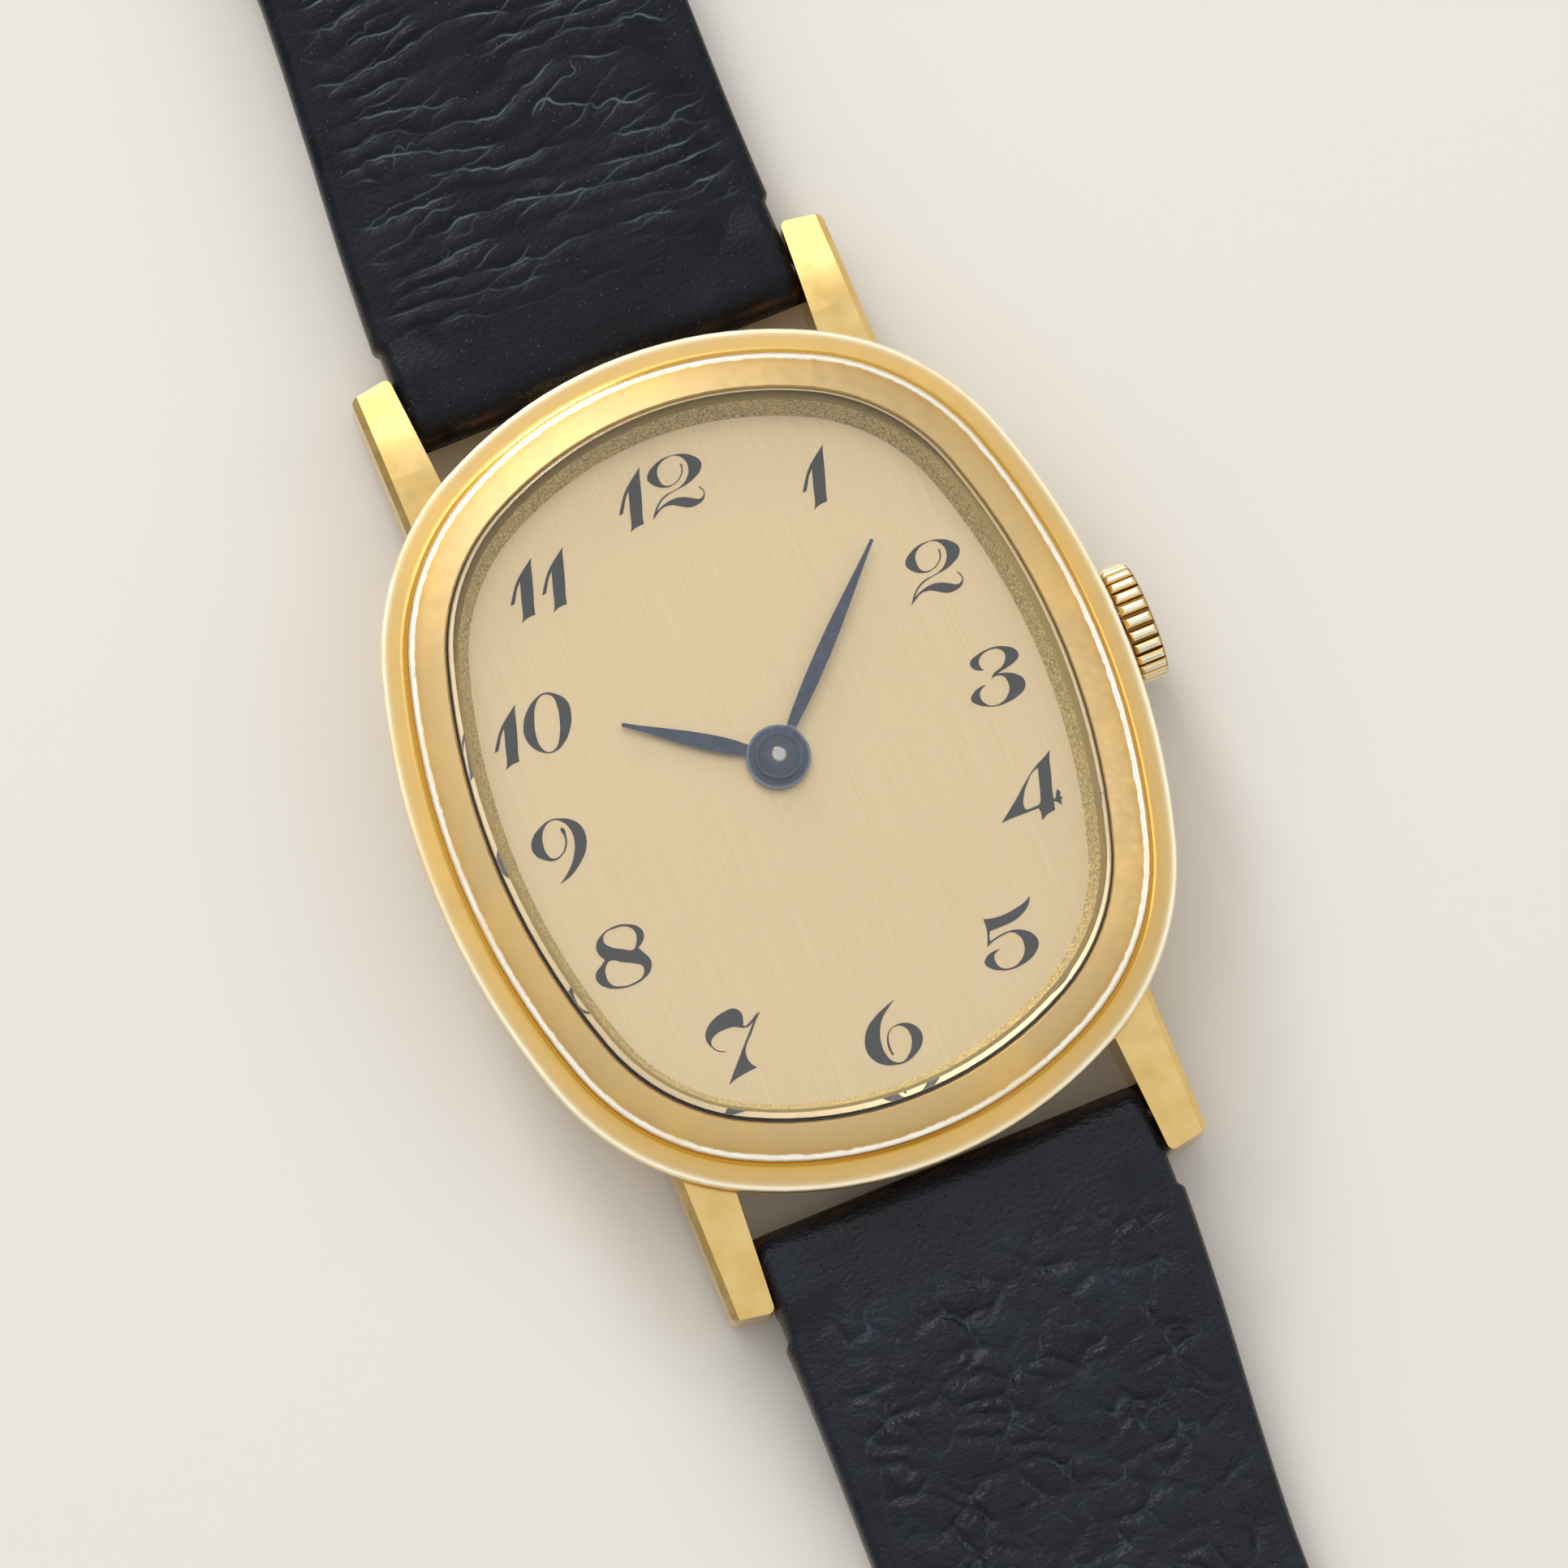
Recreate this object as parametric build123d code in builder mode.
"""Oval dress watch on a padded leather strap, in millimetres.

The case back rests on z = 0. +Z points out of the dial, +Y points to 12 o'clock
and +X to 3 o'clock, where the crown is. The hands turn about the Z axis.
"""
from build123d import *
import math
import os

os.makedirs("parts", exist_ok=True)

# Driving dimensions: case outline
case_width = 24.6
case_length = 29.0
rim_side_radius = 25.0
rim_corner_radius = 9.05
half_width = case_width / 2
half_length = case_length / 2

# Driving dimensions: heights above the table
back_top = 0.6
bridge_low = 0.85
bridge_top = 1.2
plate_low = 2.2
web_low = 2.75
web_top = 3.05
plate_top = 3.4
case_top = 3.75
crystal_low = 4.95
crystal_top = 5.85
stem_height = 2.35
spring_bar_height = 2.0

# Driving dimensions: strap
lug_gap = 14.1
spring_bar_y = 15.4
strap_width = 14.3
strap_end_width = 12.0
strap_thickness = 2.2
buckle_half_length = 68.35
long_half_length = 104.35

# Clearances
press_gap = 0.02
running_gap = 0.03
loose_gap = 0.05

# Case profile, given as inset from the rim
rim_edge = 0.07
flange_width = 0.64
groove_width = 0.27
step_width = 0.17
bore_inset = 2.17
flange_edge_height = 4.22
flange_height = 4.31
flange_inner_height = 4.34
groove_height = 4.74
step_height = 4.88
tier_height = 5.22
groove_depth = 0.12
step_crown = 0.05
tier_edge = 0.06
skirt_inset = 1.74
skirt_low = 3.25
flange_underside_inset = 0.08
band_top_inset = 0.3
band_bottom_inset = 1.0
band_bulge = 0.14
band_edge = 0.12
cavity_inset = 2.2
gasket_seat_inset = 1.75
gasket_seat_height = 0.95
skirt_seat_height = 3.22
skirt_seat_inset = 1.72

# Crystal, its seal and the grained ring under it
seal_width = 0.08
crystal_bevel = 0.16
crystal_bevel_height = 0.26
seal_top = 5.24
ring_top_inset = 2.6
ring_foot_inset = 2.92
ring_foot_height = 0.06

# Lugs
lug_outer_x = 8.5
lug_tip_width = 1.43
lug_tip_y = 16.7
lug_tip_slant = 0.25
lug_root_y = 10.6
lug_root_x = 6.75
lug_low = 0.6
lug_root_low = 1.0
lug_tip_height = 3.12
lug_shoulder_height = 3.5
lug_shoulder_y = 13.6
lug_root_height = 3.62
lug_toe_radius = 0.6
lug_heel_radius = 0.22
lug_bevel = 0.22
lug_edge = 0.06
bar_hole_radius = 0.45
bar_hole_depth = 0.85

# Case back
back_rim_inset = 2.75
back_rim_top = 1.1
back_edge = 0.3
back_gasket_top = 0.92

# Dial and hands
dial_inset = 2.3
dial_hole_radius = 0.75
dial_foot_radius = 0.4
dial_foot_circle = 7.6
dial_foot_angles = (60, 250)
dial_foot_low = 2.5
hour_hand_low = 4.02
minute_hand_low = 4.38
hand_thickness = 0.14
hour_hand_length = 5.3
minute_hand_length = 7.9
hour_hub_radius = 1.07
minute_hub_radius = 0.79
hour_collar_radius = 0.82
minute_collar_radius = 0.5
hub_step = 0.07
hand_tip_half = 0.06
hour_neck_half = 0.15
minute_neck_half = 0.13
hour_leaf_half = 0.46
minute_leaf_half = 0.44
hour_leaf_share = 0.42
minute_leaf_share = 0.5
leaf_tip_share = 0.82
hand_hour_angle = 303.9
hand_minute_angle = 45.5

# Crown and stem
crown_radius = 2.05
crown_inner_x = 12.34
crown_length = 1.0
crown_dome = 0.14
crown_ribs = 26
rib_radius = 0.19
crown_edge = 0.16
crown_cap_radius = 1.6
crown_hollow_radius = 1.15
crown_hollow_depth = 0.6
tube_radius = 0.78
tube_out_x = 12.86
tube_in_x = 10.2
stem_radius = 0.35
stem_bore_radius = 0.42
stem_outer_x = 13.14
stem_groove_radius = 0.22
stem_groove_x = 7.7
stem_groove_width = 0.5
stem_square = 0.46
stem_square_x = 5.25
stem_inner_x = 3.9
pilot_radius = 0.2
pilot_x = 3.05

# Movement layout
movement_radius = 8.75
barrel_at_angle = 75
barrel_module = 0.1
barrel_teeth = 75
centre_pinion_leaves = 10
centre_module = 0.1
centre_teeth = 60
third_leaves = 8
third_module = 0.08
third_teeth = 64
third_at_angle = -110
fourth_leaves = 8
fourth_module = 0.075
fourth_teeth = 60
fourth_at_angle = 170
escape_leaves = 6
escape_at_angle = 120
escape_teeth = 15
escape_radius = 1.3
pallet_distance = 1.75
pallet_at_angle = 100
balance_distance = 2.2
balance_at_angle = 70
balance_radius = 2.0
ratchet_module = 0.14
ratchet_teeth = 44
crown_wheel_teeth = 26
winding_module = 0.13
winding_leaves = 11
motion_module = 0.09
cannon_leaves = 12
minute_teeth = 36
minute_leaves = 10
hour_teeth = 40
minute_at_angle = -40
tooth_thickness_share = 0.42
tooth_tip_share = 0.18
tooth_root_share = 0.62
tooth_addendum_share = 0.95
tooth_dedendum_share = 1.2

# Movement heights and small sizes
winding_wheel_low = 1.25
winding_wheel_top = 1.5
drum_low = 1.56
drum_top = 2.38
drum_radius = 3.4
drum_wall = 0.16
drum_teeth_low = 1.62
drum_teeth_top = 1.86
drum_well_radius = 3.95
arbor_radius = 0.7
arbor_pivot_radius = 0.35
arbor_square = 0.8
mainspring_strip = 0.1
mainspring_pitch = 0.34
centre_disc_low = 2.45
centre_disc_top = 2.57
centre_well_radius = 3.2
third_disc_low = 1.62
third_disc_top = 1.74
fourth_disc_low = 1.95
fourth_disc_top = 2.06
escape_disc_low = 1.62
escape_disc_top = 1.74
fork_low = 1.6
fork_top = 1.74
balance_low = 1.36
balance_top = 1.5
roller_low = 1.82
roller_top = 1.94
hairspring_low = 1.2
hairspring_top = 1.3
hairspring_strip = 0.04
hairspring_pitch = 0.16
train_arbor_radius = 0.18
train_pivot_radius = 0.1
pivot_length = 0.2
jewel_radius = 0.38
jewel_thickness = 0.12
bridge_pillar_radius = 0.6
screw_head_radius = 0.42
screw_head_height = 0.14
screw_radius = 0.2
screw_slot = 0.1
motion_low = 3.07
motion_mid = 3.17
hour_disc_low = 3.22
hour_disc_top = 3.31
hour_pipe_radius = 0.62
cannon_radius = 0.4
cannon_seat_radius = 0.26
cannon_top = 4.72
centre_post_radius = 0.13

fork_tail_gap = 0.42
click_gap_count = 25
click_distance = 3.95
click_beak_radius = 3.1
click_hub_radius = 0.42
click_spring_gap = 0.12
click_spring_strip = 0.1
click_spring_height = 0.2
barrel_pillar_right = (6.6, 4.6)
barrel_pillar_left = (-3.3, 7.2)
barrel_pillar_crown = (7.3, -2.6)
train_pillar_left = (-6.2, -5.0)
train_pillar_right = (2.2, -7.2)
pallet_pillar_outer = (-7.3, 0.4)
pallet_pillar_inner = (-3.75, 1.0)
balance_pillar = (-7.6, 2.75)
barrel_pad_radius = 1.2
crown_pad_radius = 0.9
train_pad_radius = 0.8
escape_pad_radius = 0.55
small_pad_radius = 0.45
inner_pad_radius = 0.4
small_head_radius = 0.27
crown_core_radius = 0.5
crown_screw_radius = 0.62
arbor_lower_radius = 0.25
cock_underside = 1.14
screw_end = 2.9
stem_slot_half = 1.0
ring_pocket_width = 6.0
ring_pocket_depth = 1.4
ring_pocket_height = 1.6
hour_well_radius = 1.95
minute_well_radius = 1.85
pinion_well_radius = 0.65
keyless_inner_x = 3.25
keyless_outer_x = 6.2
keyless_half = 0.95
keyless_top = 3.3
lever_well_radius = 2.05
lever_slot_x = 7.45
lever_slot_half = 0.5
yoke_well_low_x = 3.5
yoke_well_high_x = 5.4
yoke_well_low_y = -3.0
yoke_well_high_y = 0.5
stud_radius = 0.16
setting_lever_at = (7.95, -1.5)
yoke_at = (4.75, -2.4)
lever_hub_radius = 0.42
lever_head_radius = 0.3
lever_thickness = 0.22
lever_pin_radius = 0.18
yoke_low = 3.2
yoke_head_radius = 0.22
yoke_pin_radius = 0.11
drum_cover = 0.12
mainspring_half_turns = 13
mainspring_height = 0.5
centre_rim_radius = 2.6
third_rim_radius = 2.2
fourth_rim_radius = 1.95
minute_rim_radius = 1.25
hub_radius = 0.45
spoke_width = 0.18
wheel_spokes = 4
centre_pinion_height = 0.4
small_pinion_height = 0.28
escape_pinion_height = 0.2
third_pinion_low = 2.32
escape_rim_radius = 1.02
escape_rim_width = 0.14
escape_hub_radius = 0.28
escape_tooth_half = 0.07
fork_hub_radius = 0.25
fork_arm_angle = 40
fork_arm_length = 0.62
fork_arm_width = 0.16
balance_rim_width = 0.24
balance_arm_width = 0.2
balance_hub_radius = 0.26
roller_radius = 0.36
hairspring_collet = 0.24
hairspring_half_turns = 13
cannon_edge = 0.05
centre_post_top = 4.3
washer_radius = 0.95
washer_top = 3.37
winding_pinion_x = 5.35
winding_pinion_length = 0.75
sliding_module = 0.11
sliding_pinion_x = 4.15
sliding_pinion_length = 1.05
sliding_groove_x = 4.6
sliding_groove_width = 0.3
sliding_groove_radius = 0.42

# Strap, keepers, spring bars and buckle
strap_bend_radius = 40.0
strap_lead = 3.0
strap_neck_width = 13.6
strap_ear = 2.5
strap_ear_length = 0.25
strap_taper = 48.0
strap_border = 1.3
strap_pad = 0.28
lining_thickness = 0.6
long_drop = 0.9
buckle_drop = 0.1
pad_end = 4.0
strap_point = 5.2
strap_holes = 7
first_hole = 25.0
hole_pitch = 6.5
hole_radius = 0.9
tongue_slot_width = 2.2
tongue_slot_length = 2.6
keeper_wall = 0.7
keeper_gap = 0.1
keeper_side_gap = 0.3
keeper_corner = 1.0
keeper_inner_corner = 0.25
keeper_width = 3.6
fixed_keeper_y = 76.0
free_keeper_y = 67.5
frame_thickness = 1.6
frame_width = 15.6
frame_length = 8.4
frame_eye_radius = 1.0
frame_corner = 1.8
frame_arm_width = 1.5
frame_front_width = 1.7
frame_edge = 0.3
buckle_bar_radius = 0.55
tongue_eye_radius = 0.95
tongue_width = 1.8
tongue_rise = 2.6
tongue_length = 8.9
tongue_low = 2.75
tongue_thickness = 0.6
bar_tube_radius = 0.75
bar_tube_half = 5.6
bar_bore_depth = 2.6
bar_tip_radius = 0.38
bar_tip_start = 4.2
bar_tip_end = 7.75
bar_collar_start = 6.5
bar_collar_width = 0.2
bar_collar_radius = 0.6


def polar(start, distance, degrees):
    """Point at a distance and direction from another."""
    return (
        start[0] + distance * math.cos(math.radians(degrees)),
        start[1] + distance * math.sin(math.radians(degrees)),
    )


def centre_distance(module, teeth, leaves):
    """Distance between the axes of two meshed gears."""
    return module * (teeth + leaves) / 2


# The rim outline is eight tangent arcs: two sides, two ends and four corners.
# The end arcs are centred on the dial's own centre.
side_centre_x = half_width - rim_side_radius
side_to_corner = rim_side_radius - rim_corner_radius
end_to_corner = half_length - rim_corner_radius
corner_centre_x = (side_to_corner**2 - end_to_corner**2 - side_centre_x**2) / (-2 * side_centre_x)
corner_centre_y = math.sqrt(end_to_corner**2 - corner_centre_x**2)
side_half_turn = math.degrees(math.atan2(corner_centre_y, corner_centre_x - side_centre_x))
end_start = math.degrees(math.atan2(corner_centre_y, corner_centre_x))


def oval_wire(inset):
    """Closed outline parallel to the rim."""
    with BuildLine() as outline:
        for side, turned in ((1, 0), (-1, 180)):
            CenterArc((side * side_centre_x, 0), rim_side_radius - inset, turned - side_half_turn,
                      2 * side_half_turn)
            CenterArc((side * corner_centre_x, side * corner_centre_y), rim_corner_radius - inset,
                      turned + side_half_turn, end_start - side_half_turn)
            CenterArc((0, 0), half_length - inset, turned + end_start, 180 - 2 * end_start)
            CenterArc((-side * corner_centre_x, side * corner_centre_y), rim_corner_radius - inset,
                      turned + 180 - end_start, end_start - side_half_turn)
    return outline.wires()[0]


def oval(inset):
    """Face inside the outline parallel to the rim."""
    with BuildSketch() as face:
        make_face(oval_wire(inset).edges())
    return face.sketch


def at_rim(inset, height):
    """Point of a rim section: inset from the rim, and height."""
    return (half_width - inset, height)


def gear(module, teeth, tooth_at):
    """Toothed disc with one tooth at the given direction."""
    pitch = 2 * math.pi / teeth
    pitch_radius = module * teeth / 2
    corners = (
        (pitch_radius - tooth_dedendum_share * module, -tooth_root_share),
        (pitch_radius, -tooth_thickness_share),
        (pitch_radius + tooth_addendum_share * module, -tooth_tip_share),
        (pitch_radius + tooth_addendum_share * module, tooth_tip_share),
        (pitch_radius, tooth_thickness_share),
        (pitch_radius - tooth_dedendum_share * module, tooth_root_share),
    )
    points = []
    for tooth in range(teeth):
        middle = math.radians(tooth_at) + tooth * pitch
        for radius, share in corners:
            angle = middle + share * pitch / 2
            points.append((radius * math.cos(angle), radius * math.sin(angle)))
    with BuildSketch() as disc:
        with BuildLine():
            Polyline(*points, close=True)
        make_face()
    return disc.sketch


def spoked(disc, rim_radius, hub_radius, spoke_width, spokes):
    """Toothed disc opened out to a rim, a hub and spokes."""
    with BuildSketch() as wheel:
        add(disc)
        Circle(rim_radius, mode=Mode.SUBTRACT)
        Circle(hub_radius)
        with PolarLocations(0, spokes):
            Rectangle(rim_radius + spoke_width, spoke_width, align=(Align.MIN, Align.CENTER))
    return wheel.sketch


def spiral(inner_radius, pitch, half_turns, strip):
    """Flat spiral of half circles, as wide as the spring's strip."""
    with BuildSketch() as coil:
        with BuildLine():
            for half in range(half_turns):
                centre_x = (half % 2) * pitch / 2
                radius = inner_radius + half * pitch / 2
                CenterArc((centre_x, 0), radius - strip / 2, 180 * (half % 2), 180)
                CenterArc((centre_x, 0), radius + strip / 2, 180 * (half % 2), 180)
            Line((inner_radius - strip / 2, 0), (inner_radius + strip / 2, 0))
            last_centre = ((half_turns - 1) % 2) * pitch / 2
            last_side = 1 if half_turns % 2 == 0 else -1
            last_radius = inner_radius + (half_turns - 1) * pitch / 2
            Line((last_centre + last_side * (last_radius - strip / 2), 0),
                 (last_centre + last_side * (last_radius + strip / 2), 0))
        make_face()
    return coil.sketch


def post(place, radius, low, top, mode=Mode.ADD):
    """Upright round post, or a hole with Mode.SUBTRACT."""
    with Locations((place[0], place[1], low)):
        Cylinder(radius, top - low, align=(Align.CENTER, Align.CENTER, Align.MIN), mode=mode)


def lying_post(start_x, end_x, radius, mode=Mode.ADD):
    """Round post along the stem's axis."""
    with Locations(Plane((start_x, 0, stem_height), x_dir=(0, 1, 0), z_dir=(1, 0, 0))):
        Cylinder(radius, end_x - start_x, align=(Align.CENTER, Align.CENTER, Align.MIN), mode=mode)


def leaf_hand(length, hub_radius, neck_half, leaf_half, leaf_share):
    """Leaf-shaped hand pointing to 12, with its hub on the axis."""
    neck_y = hub_radius - neck_half
    with BuildSketch() as hand:
        Circle(hub_radius)
        with BuildLine():
            left = Bezier((-neck_half, neck_y), (-leaf_half, length * leaf_share),
                          (-hand_tip_half, length * leaf_tip_share), (-hand_tip_half, length))
            right = Bezier((neck_half, neck_y), (leaf_half, length * leaf_share),
                           (hand_tip_half, length * leaf_tip_share), (hand_tip_half, length))
            Line(left @ 0, right @ 0)
            Line(left @ 1, right @ 1)
        make_face()
    return hand.sketch


# Case middle: band with four lugs, cavity, seats and the tube hole
with BuildPart() as lug:
    with BuildSketch(Plane.XY.offset(lug_low)):
        with BuildLine():
            Polyline((lug_root_x, lug_root_y), (lug_root_x, half_length - cavity_inset),
                     (lug_outer_x - lug_tip_width, lug_tip_y + lug_tip_slant),
                     (lug_outer_x, lug_tip_y), (lug_outer_x, lug_root_y), close=True)
        make_face()
    extrude(amount=case_top - lug_low)
    with BuildSketch(Plane.YZ):
        with BuildLine():
            Polyline((lug_root_y, lug_root_low), (lug_shoulder_y, lug_low),
                     (lug_tip_y - lug_toe_radius, lug_low))
            ThreePointArc((lug_tip_y - lug_toe_radius, lug_low),
                          (lug_tip_y + lug_tip_slant - lug_toe_radius * (1 - math.sin(math.pi / 4)),
                           lug_low + lug_toe_radius * (1 - math.sin(math.pi / 4))),
                          (lug_tip_y + lug_tip_slant, lug_low + lug_toe_radius))
            Line((lug_tip_y + lug_tip_slant, lug_low + lug_toe_radius),
                 (lug_tip_y + lug_tip_slant, lug_tip_height))
            ThreePointArc((lug_tip_y + lug_tip_slant, lug_tip_height),
                          ((lug_tip_y + lug_shoulder_y) / 2, (lug_tip_height + lug_shoulder_height) / 2
                           + band_bulge / 2),
                          (lug_shoulder_y, lug_shoulder_height))
            Polyline((lug_shoulder_y, lug_shoulder_height), (lug_root_y, lug_root_height),
                     (lug_root_y, lug_root_low))
        make_face()
    extrude(amount=half_width, mode=Mode.INTERSECT)
    outer_face = lug.faces().sort_by(Axis.X)[-1]
    top_edges = outer_face.edges().filter_by(lambda edge: edge.center().Z > (plate_low + lug_low) / 2)
    chamfer(top_edges.filter_by(lambda edge: edge.center().Y > lug_root_y + lug_edge)
            .filter_by(lambda edge: edge.center().Y < lug_tip_y - lug_edge), lug_bevel)
    tip_edges = lug.edges().filter_by(Axis.Z).filter_by(lambda edge: edge.center().Y > lug_tip_y - lug_edge)
    fillet(tip_edges, lug_heel_radius)

with BuildPart() as case_middle:
    with BuildSketch(Plane.XZ):
        with BuildLine():
            Line(at_rim(skirt_seat_inset, case_top), at_rim(band_top_inset, case_top))
            SagittaArc(at_rim(band_top_inset, case_top), at_rim(band_bottom_inset, back_top + band_edge),
                       band_bulge)
            Polyline(at_rim(band_bottom_inset, back_top + band_edge),
                     at_rim(band_bottom_inset + band_edge, back_top),
                     at_rim(gasket_seat_inset, back_top), at_rim(gasket_seat_inset, gasket_seat_height),
                     at_rim(cavity_inset, gasket_seat_height), at_rim(cavity_inset, skirt_seat_height),
                     at_rim(skirt_seat_inset, skirt_seat_height), at_rim(skirt_seat_inset, case_top))
        make_face()
    sweep(path=oval_wire(0))
    add(lug.part)
    add(lug.part.mirror(Plane.XZ))
    add(lug.part.mirror(Plane.YZ))
    add(lug.part.mirror(Plane.XZ).mirror(Plane.YZ))
    with BuildSketch(Plane.XY.offset(back_top)):
        add(oval(cavity_inset))
    extrude(amount=case_top - back_top, mode=Mode.SUBTRACT)
    with BuildSketch(Plane.XY.offset(back_top)):
        add(oval(gasket_seat_inset))
    extrude(amount=gasket_seat_height - back_top, mode=Mode.SUBTRACT)
    with BuildSketch(Plane.XY.offset(skirt_seat_height)):
        add(oval(skirt_seat_inset))
    extrude(amount=case_top - skirt_seat_height, mode=Mode.SUBTRACT)
    for end in (1, -1):
        for side in (1, -1):
            with Locations(Location((side * lug_gap / 2, end * spring_bar_y, spring_bar_height),
                                    (0, 90, 0))):
                Cylinder(bar_hole_radius, 2 * bar_hole_depth, mode=Mode.SUBTRACT)
    lying_post(tube_in_x - cavity_inset, crown_inner_x, tube_radius, mode=Mode.SUBTRACT)

# Bezel: flange, groove, polished step and inner tier, with a skirt pressed into the band
with BuildPart() as bezel:
    with BuildSketch(Plane.XZ):
        with BuildLine():
            Polyline(at_rim(flange_underside_inset, case_top), at_rim(0, case_top + rim_edge),
                     at_rim(0, flange_edge_height))
            SagittaArc(at_rim(0, flange_edge_height), at_rim(rim_edge, flange_height), -rim_edge / 4)
            Line(at_rim(rim_edge, flange_height), at_rim(flange_width, flange_inner_height))
            SagittaArc(at_rim(flange_width, flange_inner_height),
                       at_rim(flange_width + groove_width, groove_height), groove_depth)
            SagittaArc(at_rim(flange_width + groove_width, groove_height),
                       at_rim(flange_width + groove_width + step_width, step_height), -step_crown)
            Polyline(at_rim(flange_width + groove_width + step_width, step_height),
                     at_rim(bore_inset - tier_edge, tier_height),
                     at_rim(bore_inset, tier_height - tier_edge / 2),
                     at_rim(bore_inset, skirt_low), at_rim(skirt_inset, skirt_low),
                     at_rim(skirt_inset, case_top), at_rim(flange_underside_inset, case_top))
        make_face()
    sweep(path=oval_wire(0))

# Crystal and its thin black seal
with BuildPart() as crystal:
    with BuildSketch(Plane.XY.offset(crystal_low)):
        add(oval(bore_inset + seal_width))
    extrude(amount=crystal_top - crystal_bevel_height - crystal_low)
    with BuildSketch(Plane.XY.offset(crystal_top - crystal_bevel_height)):
        add(oval(bore_inset + seal_width))
    extrude(amount=crystal_bevel_height,
            taper=math.degrees(math.atan2(crystal_bevel, crystal_bevel_height)))

with BuildPart() as crystal_seal:
    with BuildSketch(Plane.XY.offset(crystal_low)):
        add(oval(bore_inset))
        add(oval(bore_inset + seal_width), mode=Mode.SUBTRACT)
    extrude(amount=seal_top - crystal_low)

# Grained ring that frames the dial
with BuildPart() as dial_ring:
    with BuildSketch(Plane.XZ):
        with BuildLine():
            Polyline(at_rim(bore_inset + press_gap, case_top), at_rim(bore_inset + press_gap, crystal_low),
                     at_rim(ring_top_inset, crystal_low),
                     at_rim(ring_foot_inset, case_top + ring_foot_height),
                     at_rim(ring_foot_inset, case_top), close=True)
        make_face()
    sweep(path=oval_wire(0))

# Dial with two feet
with BuildPart() as dial:
    with BuildSketch(Plane.XY.offset(plate_top)):
        add(oval(dial_inset))
        Circle(dial_hole_radius, mode=Mode.SUBTRACT)
    extrude(amount=case_top - plate_top)
    for angle in dial_foot_angles:
        post(polar((0, 0), dial_foot_circle, angle), dial_foot_radius, dial_foot_low, plate_top)

# Hands
with BuildPart() as hour_hand:
    with BuildSketch(Plane.XY.offset(hour_hand_low).rotated((0, 0, -hand_hour_angle))):
        add(leaf_hand(hour_hand_length, hour_hub_radius, hour_neck_half, hour_leaf_half,
                      hour_leaf_share))
    extrude(amount=hand_thickness)
    post((0, 0), hour_collar_radius, hour_hand_low, hour_hand_low + hand_thickness + hub_step)
    post((0, 0), hour_pipe_radius - press_gap, hour_hand_low, minute_hand_low, mode=Mode.SUBTRACT)

with BuildPart() as minute_hand:
    with BuildSketch(Plane.XY.offset(minute_hand_low).rotated((0, 0, -hand_minute_angle))):
        add(leaf_hand(minute_hand_length, minute_hub_radius, minute_neck_half, minute_leaf_half,
                      minute_leaf_share))
    extrude(amount=hand_thickness)
    post((0, 0), minute_collar_radius, minute_hand_low, minute_hand_low + hand_thickness + hub_step)
    post((0, 0), cannon_seat_radius, minute_hand_low, cannon_top, mode=Mode.SUBTRACT)

# Snap-on case back with its gasket
with BuildPart() as caseback:
    with BuildSketch():
        add(oval(band_bottom_inset + band_edge))
    extrude(amount=back_top)
    fillet(caseback.faces().sort_by(Axis.Z)[0].edges(), back_edge)
    with BuildSketch(Plane.XY.offset(back_top)):
        add(oval(cavity_inset + press_gap))
        add(oval(back_rim_inset), mode=Mode.SUBTRACT)
    extrude(amount=back_rim_top - back_top)

with BuildPart() as caseback_gasket:
    with BuildSketch(Plane.XY.offset(back_top)):
        add(oval(gasket_seat_inset + press_gap))
        add(oval(cavity_inset), mode=Mode.SUBTRACT)
    extrude(amount=back_gasket_top - back_top)

# Crown, stem tube, seal and winding stem
crown_outer_x = crown_inner_x + crown_length
dome_radius = (crown_cap_radius**2 + crown_dome**2) / (2 * crown_dome)
with BuildPart() as crown_turned:
    with BuildSketch(Plane.XZ):
        with BuildLine():
            Polyline((crown_outer_x + crown_dome, 0), (stem_outer_x, 0), (stem_outer_x, stem_radius),
                     (crown_inner_x + crown_hollow_depth, stem_radius),
                     (crown_inner_x + crown_hollow_depth, crown_hollow_radius),
                     (crown_inner_x, crown_hollow_radius), (crown_inner_x, crown_radius - crown_edge),
                     (crown_inner_x + crown_edge, crown_radius),
                     (crown_outer_x - crown_edge, crown_radius),
                     (crown_outer_x, crown_radius - crown_edge), (crown_outer_x, crown_cap_radius))
            CenterArc((crown_outer_x + crown_dome - dome_radius, 0), dome_radius, 0,
                      math.degrees(math.asin(crown_cap_radius / dome_radius)))
        make_face()
    revolve(axis=Axis.X)
    with BuildSketch(Plane.YZ.offset(crown_inner_x)):
        Circle(crown_radius - rib_radius)
        with PolarLocations(crown_radius - rib_radius, crown_ribs):
            Circle(rib_radius)
    extrude(amount=crown_length + crown_dome, mode=Mode.INTERSECT)

with BuildPart() as crown:
    add(crown_turned.part.moved(Location((0, 0, stem_height))))

with BuildPart() as case_tube:
    lying_post(tube_in_x, tube_out_x, tube_radius - press_gap)
    lying_post(tube_in_x, tube_out_x, stem_bore_radius, mode=Mode.SUBTRACT)

with BuildPart() as crown_seal:
    lying_post(crown_inner_x + crown_hollow_depth / 2, crown_inner_x + crown_hollow_depth,
               crown_hollow_radius - press_gap)
    lying_post(crown_inner_x + crown_hollow_depth / 2, crown_inner_x + crown_hollow_depth,
               tube_radius + running_gap - press_gap, mode=Mode.SUBTRACT)

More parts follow.
